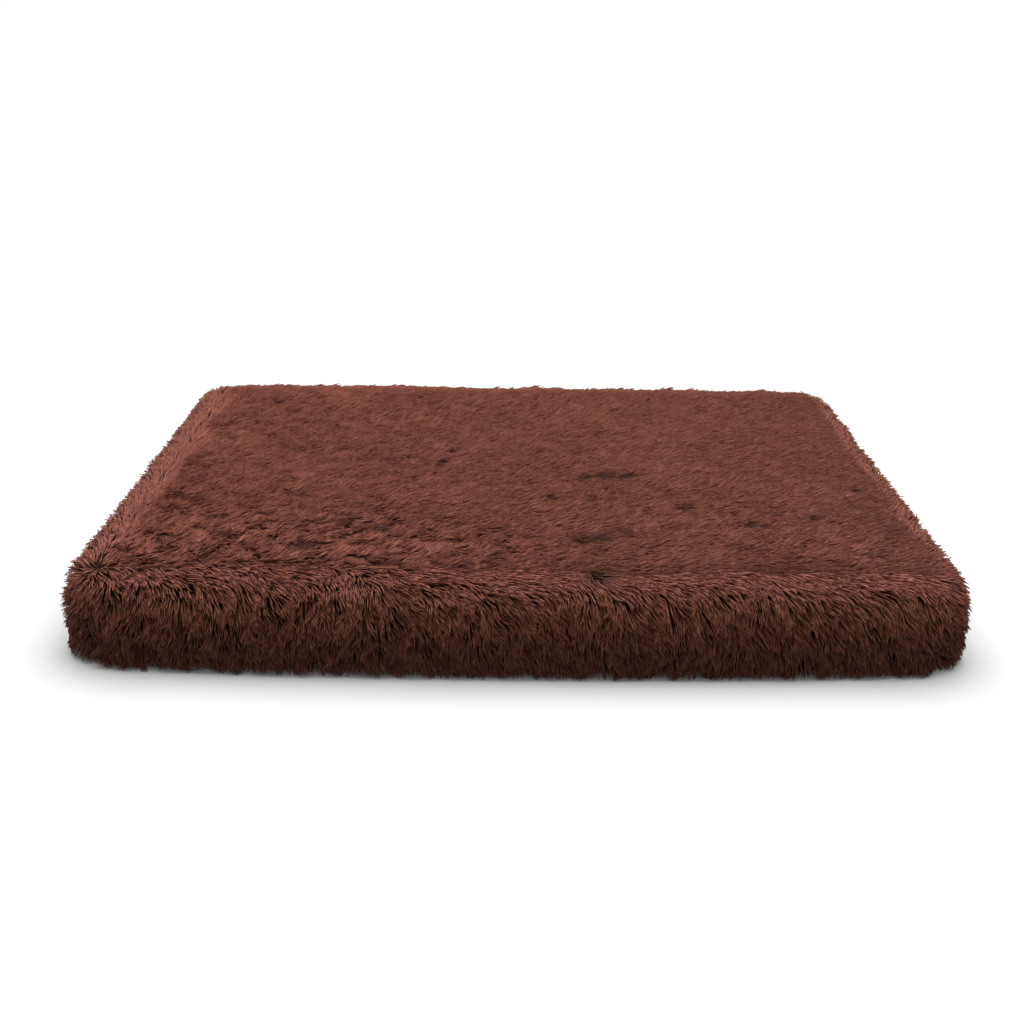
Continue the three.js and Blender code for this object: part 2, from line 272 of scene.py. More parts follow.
world = bpy.data.worlds.new("studio")
scene.world = world
world.use_nodes = True
sky = world.node_tree
sky.nodes.clear()
sight = add_node(sky, "ShaderNodeLightPath")
blend = add_node(sky, "ShaderNodeMixShader", inputs={
    0: sight.outputs["Is Camera Ray"],
    1: white_light(sky, ROOM_FILL),
    2: white_light(sky, 1.0),
})
add_node(sky, "ShaderNodeOutputWorld", inputs={"Surface": blend.outputs[0]})


def soft_box(name, place, aim, size, watts):
    """A rectangular area lamp at a place, turned to face a point."""
    lamp = bpy.data.lights.new(name, "AREA")
    lamp.shape = "RECTANGLE"
    lamp.size, lamp.size_y = size
    lamp.energy = watts
    holder = add_object(name, lamp)
    holder.location = place
    holder.rotation_euler = (Vector(aim) - Vector(place)).to_track_quat("-Z", "Y").to_euler()


soft_box("overhead_box", place=(0, 0.35, 2.4), aim=(0, 0.05, 0), size=(3.2, 2.8), watts=160)
soft_box("front_box", place=(0.3, -2.4, 1.6), aim=(0, 0, 0.05), size=(2.6, 1.6), watts=14)


# %% Floor
# From the middle of the bed: where the paint begins to turn to light and where it is all light.
PAINT_REACH, GLOW_REACH = 0.9, 1.7
FLOOR_HALF = 4.0


def white_sweep():
    """Matt white paint near the bed, which turns to plain white light further out."""
    material, tree, shader = new_material("matt_white_sweep", "#bcbcbc", 0.9)
    where = add_node(tree, "ShaderNodeTexCoord")
    reach = add_node(tree, "ShaderNodeVectorMath", {"operation": "LENGTH"}, {
        0: where.outputs["Object"],
    })
    glow = add_node(tree, "ShaderNodeMapRange", {"interpolation_type": "SMOOTHSTEP"}, {
        "Value": reach.outputs["Value"],
        "From Min": PAINT_REACH,
        "From Max": GLOW_REACH,
    })
    tree.links.new(glow.outputs["Result"], shader.inputs["Emission Strength"])
    shader.inputs["Emission Color"].default_value = linear("#ffffff")
    return material


corners = [(x * FLOOR_HALF, y * FLOOR_HALF, 0) for x, y in ((-1, -1), (1, -1), (1, 1), (-1, 1))]
mesh_object("studio_floor", corners, [(0, 1, 2), (0, 2, 3)], white_sweep())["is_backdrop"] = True

# %% [markdown]
# ## The padded body
#
# Under the pile is the cover's knitted backing, pulled tight over foam. The foam pushes evenly
# on its cover, so the shape is blown up with a little pressure by the cloth solver, and its
# corners and edges round off by themselves. The solver starts from a slightly smaller slab: an
# outline with round corners, carried up a profile with a quarter circle at foot and shoulder.
# A knit only stretches so far, so no point travels further than the slab was made smaller.


# %% Sizes read from the frame
def span(node):
    """The low and the high corner of a CAD node's box."""
    low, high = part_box(node)
    return np.array(low), np.array(high)


base_low, base_high = span("base_panel")
top_low, _ = span("top_fur_panel")
tape_low, tape_high = span("upper_zip_tape")
# The knit's thickness, its seam's gap above the base, and the base's corner radius.
BACKING = 1.2 * MM
BASE_GAP = 0.6 * MM
CORNER = 44.4 * MM
REACH_X, REACH_Y = base_high[:2]
FOOT_Z = base_high[2] + BASE_GAP
CROWN_Z = top_low[2] + BACKING
ZIP_HALF = tape_high[0]
ZIP_TOP = tape_high[2]


# %% Slabs with round corners
def rounded_outline(half_x, half_y, radius, corner_points=12, side_points=24):
    """Points round a rectangle whose corners are quarter circles, counter-clockwise."""
    turn = np.linspace(0, np.pi / 2, corner_points)
    arcs = []
    for quarter, (sx, sy) in enumerate(((1, 1), (-1, 1), (-1, -1), (1, -1))):
        angle = turn + quarter * np.pi / 2
        centre = np.array([sx * (half_x - radius), sy * (half_y - radius)])
        arcs.append(centre + radius * np.stack([np.cos(angle), np.sin(angle)], 1))
    share = np.linspace(0, 1, side_points + 1)[1:-1, None]
    sides = [a[-1] * (1 - share) + b[0] * share for a, b in zip(arcs, arcs[1:] + arcs[:1])]
    return np.concatenate([part for pair in zip(arcs, sides) for part in pair])


def slab_rings(half_x, half_y, bottom, top, corner, foot, shoulder, cap_rings=10, **fineness):
    """Rings from the middle of the underside, out, up the wall and in to the middle of the top.

    The inset follows a quarter circle at the foot and one at the shoulder; a ring's outline is
    the rounded rectangle drawn in by the inset.
    """
    turn = np.linspace(0, np.pi / 2, 8)
    inset = np.concatenate([foot * (1 - np.sin(turn)), shoulder * (1 - np.cos(turn))])
    height = np.concatenate([bottom + foot * (1 - np.cos(turn)), top - shoulder * (1 - np.sin(turn))])
    tightest = 1 * MM
    wall = np.stack([
        rounded_outline(half_x - i, half_y - i, max(corner - i, tightest), **fineness) for i in inset
    ])
    share = (np.arange(cap_rings) + 0.5) / cap_rings
    plan = np.concatenate([
        wall[0] * share[:, None, None],
        wall,
        wall[-1] * share[::-1, None, None],
    ])
    level = np.concatenate([np.full(cap_rings, bottom), height, np.full(cap_rings, top)])
    level = np.broadcast_to(level[:, None, None], (*plan.shape[:2], 1))
    return np.concatenate([plan, level], 2)


def knitted_backing():
    """The back of faux fur: a dense brown knit, darkened as painted shade to match the fur's shaded
    roots, and lost in shade between the fibres.
    """
    material, tree, shader = new_material(
        "knitted_polyester_backing", "#3a2219", 0.95, Specular_IOR_Level=0.05,
    )
    # Painted shade: the knit's brown is made as dark as the shaded roots of the pile.
    loops = add_texture(tree, "ShaderNodeTexVoronoi", 1 / (1.5 * MM), {"feature": "F1"})
    bumped(tree, shader, loops.outputs["Distance"], 0.4 * MM, 0.5)
    return material


# How much smaller the slab starts, and the radii of its edges at the foot and the shoulder.
START = 6 * MM
FOOT_ROUND = 6 * MM
SHOULDER_ROUND = 22 * MM
body = mesh_object("cover_backing", *skin(slab_rings(
    REACH_X - START, REACH_Y - START, FOOT_Z + START / 2, CROWN_Z - START, CORNER - START,
    FOOT_ROUND, SHOULDER_ROUND,
)), knitted_backing())


# %% Reading and writing points
def vertex_array(piece, attribute="co"):
    """The place ("co") or the direction ("normal") of every vertex, as an array (n, 3)."""
    values = np.empty(len(piece.data.vertices) * 3, dtype=np.float32)
    piece.data.vertices.foreach_get(attribute, values)
    return values.reshape(-1, 3).astype(float)


def store_vertices(piece, places):
    piece.data.vertices.foreach_set("co", places.astype(np.float32).ravel())
    piece.data.update()


def apply_modifiers(piece):
    bpy.context.view_layer.objects.active = piece
    for modifier in list(piece.modifiers):
        bpy.ops.object.modifier_apply(modifier=modifier.name)


# %% Blow the body up
def inflate(piece, pressure, frames, cap):
    """Run the cloth solver with pressure and no gravity, then limit each point's travel to cap."""
    start = vertex_array(piece)
    cloth = piece.modifiers.new("foam_pressure", "CLOTH")
    cloth.settings.use_pressure = True
    cloth.settings.uniform_pressure_force = pressure
    cloth.settings.effector_weights.gravity = 0
    cloth.settings.quality = 5
    cloth.point_cache.frame_end = frames
    for number in range(1, frames + 1):
        scene.frame_set(number)
    apply_modifiers(piece)
    scene.frame_set(1)
    moved = vertex_array(piece) - start
    travel = np.linalg.norm(moved, axis=1)
    moved *= np.minimum(1, cap / np.maximum(travel, 1e-9))[:, None]
    store_vertices(piece, start + moved)
    low, typical, high = np.round(np.percentile(travel, (5, 50, 95)) / MM, 1)
    print(f"the pressure asked for {low} to {high} mm of travel, with a median of {typical} mm")


PRESSURE, FRAMES = 0.3, 12
QUAD = 12 * MM
remesh = body.modifiers.new("even_quads", "REMESH")
remesh.mode = "VOXEL"
remesh.voxel_size = QUAD
apply_modifiers(body)
print("the backing has", len(body.data.vertices), "points")

inflate(body, PRESSURE, FRAMES, START)

# The lining has the same form and is never seen whole, so it keeps the coarse faces.
coarse_backing = body.data.copy()
refine = body.modifiers.new("smooth_foam", "SUBSURF")
refine.levels = refine.render_levels = 1
apply_modifiers(body)


# %% [markdown]
# Foam is never quite flat under a cover, so broad swells are added as a sum of smooth waves. On
# top the surface is also raised by the underfur, short dense fibres that hide the knit. The front
# bulges a little in its middle, the underside lies flat on its canvas, and the part behind the
# zip is drawn in to leave room for it. The walls are brought out to the edge of the base, and at
# the two ends just past it, because the cloth solver leaves them a little slack.


# %% Swells, the flat underside and the recess for the zip
UNDERFUR = 20 * MM
SWELL, SWELL_LENGTH = 0.9 * MM, 0.16
# The ends' reach as a share of the base's, the middle of the front past its corners, how far
# those corners are drawn in, and the space kept behind the zip tape.
WIDER = 1.014
FRONT_BULGE = 14 * MM
FRONT_TRIM = 2 * MM
TAPE_ROOM = 2.4 * MM


def settle(places):
    """Raise and swell the top, flatten below, bring out the walls and leave room for the zip.

    The front bulges by (1 - u^2.2) FRONT_BULGE, where u runs from 0 in its middle to 1 at its
    ends, and the bulge fades out towards the middle of the bed.
    """
    upper = smoothstep(0.04, 0.08, places[:, 2])
    places[:, 2] += upper * (UNDERFUR + SWELL * waves(places * (1, 1, 0), SWELL_LENGTH, SEED))
    places[:, 2] = np.maximum(places[:, 2], FOOT_Z)
    places[:, :2] *= np.array([REACH_X * WIDER, REACH_Y]) / np.abs(places[:, :2]).max(0)
    across = np.clip(np.abs(places[:, 0]) / (REACH_X - 15 * MM), 0, 1)
    nearness = smoothstep(-0.15, -REACH_Y, places[:, 1])
    places[:, 1] -= nearness * ((1 - across**2.2) * FRONT_BULGE - FRONT_TRIM)
    behind_zip = (
        smoothstep(ZIP_HALF + 6 * MM, ZIP_HALF, np.abs(places[:, 0]))
        * smoothstep(ZIP_TOP + 12 * MM, ZIP_TOP + 1 * MM, places[:, 2])
        * (places[:, 1] > 0)
    )
    drawn_in = np.minimum(places[:, 1], tape_low[1] - TAPE_ROOM)
    places[:, 1] += (drawn_in - places[:, 1]) * behind_zip
    return places


store_vertices(body, settle(vertex_array(body)))
shade_smooth(body.data)
settle_in(body, "cushion", ["top_fur_panel"])

# %% [markdown]
# ## The pile
#
# Faux fur is polyester fibre, tufted into the knit and brushed out. What the eye sees is locks:
# fibres that cling together and taper to one soft point. A hair system would draw fibres, but
# only real surfaces can be stored and reused, so each lock is a small closed spike with three
# sides. On the flat top only the tips show, so a lock there is straight and very light. Over
# the edges and down the walls a lock shows its whole length, so it follows a curve: it stands
# up along the surface, then bends over in the direction in which the pile is brushed.


# %% Roots spread over the backing
def spread_roots(piece, density, seed):
    """Random points on a mesh, as many on each triangle as its area asks, with their normals."""
    draw = np.random.default_rng(seed)
    mesh = piece.data
    mesh.calc_loop_triangles()
    corners = np.empty(len(mesh.loop_triangles) * 3, dtype=np.int32)
    mesh.loop_triangles.foreach_get("vertices", corners)
    corners = corners.reshape(-1, 3)
    points, normals = vertex_array(piece)[corners], vertex_array(piece, "normal")[corners]
    area = np.linalg.norm(np.cross(points[:, 1] - points[:, 0], points[:, 2] - points[:, 0]), axis=1)
    ends = np.cumsum(area / 2 * density(points.mean(1), normals.mean(1)))
    count = int(ends[-1])
    steps = (np.arange(count) + draw.uniform(size=count)) * ends[-1] / count
    picks = np.minimum(np.searchsorted(ends, steps), len(corners) - 1)
    u, v = draw.uniform(size=(2, count, 1))
    u, v = np.where(u + v > 1, 1 - u, u), np.where(u + v > 1, 1 - v, v)
    weights = np.concatenate([1 - u - v, u, v], 1)[..., None]
    return (points[picks] * weights).sum(1), unit((normals[picks] * weights).sum(1))


# Where the normal's z is over FLAT, the surface counts as level. The others are locks for each
# square metre.
FLAT = 0.965
TOP_LOCKS, SHOULDER_LOCKS = 300000, 240000
FRONT_LOCKS, WALL_LOCKS = 300000, 120000


def plush_density(middle, normal):
    """Locks for each square metre on the flat of the top."""
    return np.where(normal[:, 2] > FLAT, TOP_LOCKS, 0)


def lock_density(middle, normal):
    """Locks for each square metre over the edges and down the walls, most on the front."""
    density = WALL_LOCKS + (FRONT_LOCKS - WALL_LOCKS) * smoothstep(0.1, 0.3, -normal[:, 1])
    density = np.maximum(density, SHOULDER_LOCKS * smoothstep(0.5, 0.9, normal[:, 2]))
    underneath = (normal[:, 2] < -0.5) | (middle[:, 2] < FOOT_Z + 1 * MM)
    at_zip = (
        (np.abs(middle[:, 0]) < ZIP_HALF + 1 * MM)
        & (middle[:, 1] > REACH_Y / 2)
        & (middle[:, 2] < ZIP_TOP + 4 * MM)
    )
    return np.where(underneath | at_zip | (normal[:, 2] > FLAT), 0, density)


# %% [markdown]
# The direction in which the pile is brushed changes slowly over the bed. On the top it lies
# along a diagonal. Over the front edge it swings round and then hangs down the wall, with a
# lean that differs from place to place, as it does after hands have stroked it.

# %% Brushing
# The front pile's lean to the right, at stations along the bed: 1 is as far sideways as down.
LEAN_AT = np.array([-0.48, -0.36, -0.31, -0.26, -0.22, -0.17, -0.11, 0.0, 0.07, 0.11, 0.16, 0.48])
LEAN = np.array([0.05, 0.05, 0.35, 0.3, 0.0, 0.0, 0.4, 0.65, 0.2, 0.55, 0.5, 0.45])
# The same for the other walls, along the way that runs counter-clockwise round the bed.
LEFT_LEAN, RIGHT_LEAN, BACK_LEAN = -0.8, 0.8, -0.7
TOP_BEARING = math.radians(-22)

# The part of the top where the pile is rough and lies in coarse tufts.
ROUGH_CENTRE = np.array([-0.26, -0.28])
ROUGH_SIZE = np.array([0.24, 0.10])


def roughness_of(places):
    """1 in the rough part of the top, falling smoothly to 0 outside its ellipse."""
    away = np.linalg.norm((places[:, :2] - ROUGH_CENTRE) / ROUGH_SIZE, axis=1)
    return smoothstep(1.3, 0.5, away)


def brushed(places, normal):
    """Unit directions along the surface: diagonal on top, sideways over an edge, then down.

    The share of each direction follows the slope, which is 0 on the flat and 1 on a wall, and
    what sticks out of the surface is taken off: d = f - (f . n) n, made one long.
    """
    rough = roughness_of(places)
    bearing = TOP_BEARING + 0.12 * waves(places, 0.15, SEED + 1)
    bearing += (0.2 + 0.3 * rough) * waves(places, 0.03, SEED + 2)
    along_top = np.stack([np.cos(bearing), np.sin(bearing), 0 * bearing], 1)
    slope = np.linalg.norm(normal[:, :2], axis=1)
    outward = unit(normal * (1, 1, 0) + (1e-6, 0, 0))
    sideways = np.stack([-outward[:, 1], outward[:, 0], 0 * slope], 1)
    facings = (-outward[:, 1], outward[:, 1], -outward[:, 0], outward[:, 0])
    front, back, left, right = (smoothstep(0.3, 0.8, facing) for facing in facings)
    lean = np.interp(places[:, 0], LEAN_AT, LEAN) * front
    lean = lean + LEFT_LEAN * left + RIGHT_LEAN * right + BACK_LEAN * back
    lean += 0.25 * waves(places, 0.09, SEED + 3)
    over_edge = outward * (0.6 - 0.3 * left)[:, None] + sideways * (1.2 * lean)[:, None]
    over_edge += np.stack([0.35 * front, 0 * front, 0 * front], 1)
    fade = 0.25 + 0.75 * smoothstep(0.02, 0.09, places[:, 2])
    down = sideways * (lean * fade)[:, None] - (0, 0, 1)
    edge = smoothstep(0.03, 0.4, slope)[:, None]
    wall = smoothstep(0.45, 0.95, slope)[:, None]
    flow = (along_top * (1 - edge) + over_edge * edge) * (1 - wall) + down * wall
    return unit(flow - (flow * normal).sum(1, keepdims=True) * normal)


# %% [markdown]
# Fibres cling together in small clumps. Space is divided into cells with one random centre in
# each, and each tip is pulled towards the nearest centre, as in a Worley texture.


# %% Clumps and partings
def nearest_clump(places, spacing, seed, size=64):
    """The nearest of the scattered centres, looked for in the 27 cells around, and its tone."""
    draw = np.random.default_rng(seed)
    jitter = draw.uniform(0, 1, size=(size, size, size, 3))
    tones = draw.uniform(0, 1, size=(size, size, size))
    cell = np.floor(places / spacing).astype(int)
    best = np.full(len(places), np.inf)
    centre, tone = np.zeros_like(places), np.zeros(len(places))
    for step in np.ndindex(3, 3, 3):
        near = cell + np.array(step) - 1
        wrapped = tuple((near % size).T)
        candidate = (near + jitter[wrapped]) * spacing
        distance = ((candidate - places) ** 2).sum(1)
        closer = distance < best
        best = np.where(closer, distance, best)
        centre = np.where(closer[:, None], candidate, centre)
        tone = np.where(closer, tones[wrapped], tone)
    return centre, tone


# Small places where the pile has parted and shows its dark roots: x, y and radius.
PARTINGS = np.array([
    (0.085, -0.055, 0.009),
    (0.110, -0.052, 0.012),
    (0.135, -0.055, 0.010),
    (0.040, -0.125, 0.008),
    (0.070, -0.252, 0.011),
    (0.092, -0.242, 0.012),
    (0.084, -0.335, 0.014),
    (-0.083, 0.037, 0.007),
    (-0.093, -0.005, 0.007),
    (-0.152, -0.226, 0.010),
    (0.195, -0.155, 0.008),
    (0.265, -0.207, 0.009),
    (0.340, -0.187, 0.008),
    (0.410, -0.097, 0.007),
    (-0.347, 0.235, 0.007),
    (-0.234, -0.275, 0.014),
])
PARTING_SINK = 6 * MM


def part_pile(roots, tip, normal):
    """Push tips away from each parting's centre and sink them, less and less further out.

    The weight falls as exp(-(distance / radius)^2), and the largest one for each lock comes back
    as the strength of the painted shade on the parted locks.
    """
    parted = np.zeros(len(roots))
    for x, y, radius in PARTINGS:
        away = (roots + tip)[:, :2] / 2 - (x, y)
        distance = np.linalg.norm(away, axis=1, keepdims=True)
        weight = np.exp(-((distance / radius) ** 2))
        tip[:, :2] += away / np.maximum(distance, 1e-6) * weight * radius * 0.9
        tip -= normal * weight * PARTING_SINK
        parted = np.maximum(parted, weight[:, 0])
    return tip, parted


# %% [markdown]
# The walls are separate panels, sewn together at the front corners. The thread pulls the backing
# in there and holds the roots apart, so the pile turns away from the seam to both sides.


# %% Seams at the front corners
# The middle of the right front corner's arc; the left one's is the same with -x.
SEAM_CENTRE = np.array([0.417, -0.303])
# How far from the seam the pile turns, and how far its tips then turn away and sink in.
SEAM_HALF = 8 * MM
SEAM_TURN, SEAM_SINK = 9 * MM, 14 * MM


def open_seam(roots, tip):
    """Turn the pile away from the seam that runs down the wall at each of the front corners."""
    for side, strength in ((-1, 1.0), (1, 0.5)):
        outward = np.array([side * 0.5, -0.866])
        along = np.array([-outward[1], outward[0]])
        offset = roots[:, :2] - SEAM_CENTRE * (side, 1)
        distance = offset @ along
        weight = np.exp(-((distance / SEAM_HALF) ** 2)) * (offset @ outward > 20 * MM)
        weight *= smoothstep(0.085, 0.06, roots[:, 2]) * strength
        tip[:, :2] += (np.sign(distance) * weight * SEAM_TURN)[:, None] * along
        tip[:, :2] -= (weight * SEAM_SINK)[:, None] * outward
    return tip


# %% [markdown]
# Now each lock gets its own curve. Its root stands in the knit, its bend lies nearly straight
# above the root, and its tip is carried along by the brushing and drawn in by its clump.


# %% Length and clumping
# The pile is short on the flat of the top and long on the walls.
SHORT, LONG = 16 * MM, 29 * MM
FINE_CLUMP, COARSE_CLUMP = 4 * MM, 11 * MM
CLUMP_RISE = 1.2 * MM


def lock_length(roots, normal, wall, draw):
    """Long on the walls, a little less so at the two ends, and longer towards the front edge."""
    crest = 0.4 * smoothstep(-0.27, -0.335, roots[:, 1])[:, None]
    length = SHORT + (LONG - SHORT) * np.maximum(wall, crest)
    length *= (1 - 0.2 * wall * np.abs(normal[:, :1])) * draw.uniform(0.88, 1.08, size=(len(roots), 1))
    return length


def draw_together(bend, tip, roots, axes, shares, seed):
    """Pull bends and tips into fine and coarse clumps, and give back the fine clumps' tones.

    All the tips of a clump are tossed the same way along the surface. A clump stands up or sinks
    by its tone, and the clumps with the lowest tones sink further, as hollows in the pile.
    """
    normal, flow, across = axes
    wall, rough, near_front = shares
    groups = (
        (FINE_CLUMP, 0.28 + 0.14 * wall, 1.6 * MM * (1 - 0.3 * wall)),
        (COARSE_CLUMP, 0.04 + 0.04 * wall + 0.10 * rough, 1.2 * MM * (1 + 1.5 * rough - 0.6 * wall)),
    )
    tones = []
    for spacing, pull, toss in groups:
        centre, tone = nearest_clump(roots, spacing, seed + int(spacing / MM))
        towards = centre - roots
        towards -= (towards * normal).sum(1, keepdims=True) * normal
        tip += towards * pull
        bend += towards * pull * 0.5
        turn = (tone * 61 % 1 * 2 * np.pi)[:, None]
        tip += (flow * np.cos(turn) + across * np.sin(turn)) * toss
        hollow = smoothstep(0.22, 0.0, tone)[:, None]
        tip += normal * ((tone - 0.5) * CLUMP_RISE)[:, None] * (1 + wall + rough)
        tip -= normal * hollow * (0.2 + 1.5 * near_front + 3.5 * rough) * CLUMP_RISE
        tones.append(tone)
    return tones[0]


# %% The curve of a lock
# Wavelengths of the slow changes in the way that neighbouring locks curl and sway.
CURL_LENGTH, SWAY_LENGTH = 28 * MM, 17 * MM
SCATTER = 1.1 * MM
LOWEST_TIP, LOWEST_BEND = 0.8 * MM, 1.6 * MM


def lock_curves(roots, normal, seed):
    """Two control points for each lock, its bend and its tip, and its clump's tone less painted shade
    at partings.

    A tip lies at root + rise * normal + run * flow + a sway across the flow. It is then drawn
    into its clump, scattered, parted, turned from the seams and kept off the floor.
    """
    draw = np.random.default_rng(seed)
    normal = unit(np.column_stack([normal[:, :2], np.maximum(normal[:, 2], 0)]))
    flow = brushed(roots, normal)
    across = np.cross(normal, flow)
    rough = roughness_of(roots)[:, None]
    wall = smoothstep(0.3, 0.9, np.linalg.norm(normal[:, :2], axis=1))[:, None]
    near_front = smoothstep(-0.05, -0.33, roots[:, 1])[:, None]
    length = lock_length(roots, normal, wall, draw)
    rise = length * (0.34 + 0.32 * wall)
    run = length * (0.76 - 0.22 * wall)
    room = np.clip((roots[:, 2:] - 2 * MM) / (run + 1e-9), 0.2, 1)
    run = run * (1 - wall * (1 - room))
    curl = waves(roots, CURL_LENGTH, seed + 1)[:, None] * (0.05 + 0.15 * wall + 0.15 * rough)
    sway = waves(roots, SWAY_LENGTH, seed + 2)[:, None] * (0.05 + 0.12 * wall)
    bend = roots + normal * rise * 0.85 + flow * run * 0.12 + across * length * curl
    tip = roots + normal * rise + flow * run + across * length * (curl + sway) * 0.8
    tone = draw_together(bend, tip, roots, (normal, flow, across), (wall, rough, near_front), seed)
    steady = 0.4 + 0.6 * smoothstep(0.01, 0.045, roots[:, 2:])
    tip += draw.normal(size=(len(roots), 3)) * SCATTER * steady
    tip, parted = part_pile(roots, tip, normal)
    tip = open_seam(roots, tip)
    tip[:, 2] = np.maximum(tip[:, 2], LOWEST_TIP)
    bend[:, 2] = np.maximum(bend[:, 2], LOWEST_BEND)
    # Painted shade: the tone is darkened where the pile is parted.
    return bend, tip, tone - 2.2 * parted


# %% [markdown]
# All the locks of one piece are built at once. Three points round each station are enough, as
# a lock is seen from a distance at which its section can't be made out.


# %% The mesh of a lock
def lock_mesh(root, bend, tip, stations, widths, tone, twist, lit):
    """Rings of three points along a Bezier, closed by a base triangle and one tip point.

    point(s) = (1 - s)^2 root + 2 s (1 - s) bend + s^2 tip, and a ring lies square to the slope.
    On the map, u is the lock's tone, and v runs from lit at the root to 1 at the tip.
    """
    side = unit(np.cross(tip - root, bend - root + (1e-6, 2e-6, 0)))
    rings = []
    for s, width in zip(stations, widths):
        middle = (1 - s) ** 2 * root + 2 * s * (1 - s) * bend + s**2 * tip
        slope = unit(2 * (1 - s) * (bend - root) + 2 * s * (tip - bend))
        a = unit(side - (side * slope).sum(1, keepdims=True) * slope)
        b = np.cross(slope, a)
        for angle in (twist, twist + 2 * np.pi / 3, twist + 4 * np.pi / 3):
            rings.append(middle + (a * np.cos(angle)[:, None] + b * np.sin(angle)[:, None]) * width)
    points = np.stack(rings + [tip], 1)
    each = points.shape[1]
    last = each - 4
    faces = [(0, 2, 1)]
    for start in range(0, last, 3):
        for a, b in ((start, start + 1), (start + 1, start + 2), (start + 2, start)):
            faces += [(a, b, b + 3), (a, b + 3, a + 3)]
    faces += [(last, last + 1, each - 1), (last + 1, last + 2, each - 1), (last + 2, last, each - 1)]
    faces = np.array(faces)
    along = np.repeat(np.append(stations, 1.0), [3] * len(stations) + [1])
    along = lit + (1 - lit) * along
    spread = np.array([-1, 0, 1] * len(stations) + [0]) * 0.006
    u = np.clip(tone[:, None] + spread, 0.002, 0.998)
    uv = np.stack([u, np.broadcast_to(0.01 + 0.98 * along, u.shape)], -1)[:, faces]
    faces = faces + np.arange(len(root))[:, None, None] * each
    return points.reshape(-1, 3), faces.reshape(-1, 3), uv.reshape(-1, 2)


# %% [markdown]
# ### The colour of the fur
#
# Polyester fur is dyed all through, but light hardly reaches the roots, so a lock runs from a
# deep brown root to a warm reddish tip. Each lock has a tone of its own. Both come from the
# piece's map: v runs from root to tip and u is the tone. The fibre is crimped, and each crimp
# catches the light on one side, so a fine noise breaks the colour into flecks and bumps it. A
# little sheen gives the soft rim that fine fibres show at a grazing angle.


# %% Fur material
# A real crimp is about 1 mm long; it is drawn at 2.4 mm so that the flecks show.
CRIMP = 2.4 * MM


def multiplied(tree, first, second):
    """Two colours multiplied channel by channel."""
    product = add_node(tree, "ShaderNodeMix", {"data_type": "RGBA", "blend_type": "MULTIPLY"}, {
        0: 1.0,
        6: first,
        7: second,
    })
    return product.outputs[2]


def polyester_fur():
    """Crimped, dyed fibre: matt and reddish, with painted shade that darkens it to the root and painted
    glints that fleck it all along.
    """
    material, tree, shader = new_material(
        "polyester_faux_fur", "#7a4636", 0.75,
        Specular_IOR_Level=0.15, Sheen_Weight=0.03, Sheen_Roughness=0.5, Sheen_Tint=linear("#b07a64"),
    )
    where = add_node(tree, "ShaderNodeUVMap", {"uv_map": "OFBake"})
    split = add_node(tree, "ShaderNodeSeparateXYZ", inputs={0: where.outputs["UV"]})
    # Painted shade: the colour darkens from the tip down to the root, where little light reaches.
    along_stops = ((0.0, "#190e0b"), (0.2, "#3b231b"), (0.5, "#754a3f"), (1.0, "#a86c5c"))
    along = ramp(tree, split.outputs["Y"], along_stops)
    tone = ramp(tree, split.outputs["X"], ((0.0, "#85766f"), (0.5, "#d3c6bf"), (1.0, "#fff4e6")))
    crimp = add_texture(tree, "ShaderNodeTexNoise", 1 / CRIMP, Detail=1.5, Roughness=0.6).outputs["Fac"]
    # Painted glints: where the crimp noise is high the colour is lightened, as where a crimp catches
    # the light.
    glint = ramp(tree, crimp, ((0.3, "#c8bfba"), (0.5, "#efebe9"), (0.7, "#ffffff")))
    colour = multiplied(tree, multiplied(tree, along, tone), glint)
    tree.links.new(colour, shader.inputs["Base Color"])
    bumped(tree, shader, crimp, 0.6 * MM)
    return material


fur = polyester_fur()


# %% Grow the pile
def lock_tones(roots, clump_tone_less_parting_shade, seed):
    """A lock's tone: part its own, part its clump's less the partings' painted shade, part a broad
    change, and painted shade low down.
    """
    own = np.random.default_rng(seed).uniform(size=len(roots))
    broad = 0.5 + 0.2 * waves(roots, 0.1, seed + 1)
    # Painted shade: the pile is darkened towards the floor, as the walls fall out of the overhead
    # light.
    low = smoothstep(0.125, 0.025, roots[:, 2])
    return np.clip(0.25 * own + 0.25 * clump_tone_less_parting_shade + 0.08 * broad + 0.46 - 0.8 * low, 0.01, 0.99)


# Just under the most triangles that one piece may have.
LARGEST_PIECE = 199000


def plant(name, node, chosen, curves, tones, stations, widths, seed, lit=0.0):
    """Make locks from the chosen roots, in pieces of no more than LARGEST_PIECE triangles.

    Stations are shares of a lock's length, and widths are its radii there in millimetres.
    """
    root, bend, tip = (part[chosen] for part in curves)
    order = np.argsort(root[:, 0], kind="stable")
    draw = np.random.default_rng(seed)
    twist = draw.uniform(0, 2 * np.pi, size=len(root))
    thick = draw.uniform(0.8, 1.2, size=(len(root), 1))
    each = 4 + 6 * (len(stations) - 1)
    parts = math.ceil(len(root) * each / LARGEST_PIECE)
    for number, some in enumerate(np.array_split(order, parts), 1):
        points, faces, uv = lock_mesh(
            root[some], bend[some], tip[some], stations,
            [width * MM * thick[some] for width in widths], tones[chosen][some], twist[some], lit,
        )
        piece = mesh_object(f"{name}_{number}" if parts > 1 else name, points, faces, fur, uv)
        settle_in(piece, "cushion", [node])
    print(name, len(root), "locks,", len(root) * each, "triangles in", parts, "pieces")


# On the top only tips show, so a lock is one straight, wide spike and starts half way to its
# tip's colour.
TOP_STATIONS, TOP_WIDTHS, TOP_LIT = (0.0,), (1.32,), 0.5
WALL_STATIONS, WALL_WIDTHS = (0.0, 0.45, 0.86), (0.75, 0.85, 0.6)

roots, normals = spread_roots(body, plush_density, SEED + 4)
bend, tip, clump = lock_curves(roots, normals, SEED + 10)
plant(
    "top_pile", "top_fur_panel", np.arange(len(roots)), (roots, bend, tip),
    lock_tones(roots, clump, SEED + 20), TOP_STATIONS, TOP_WIDTHS, SEED + 30, TOP_LIT,
)

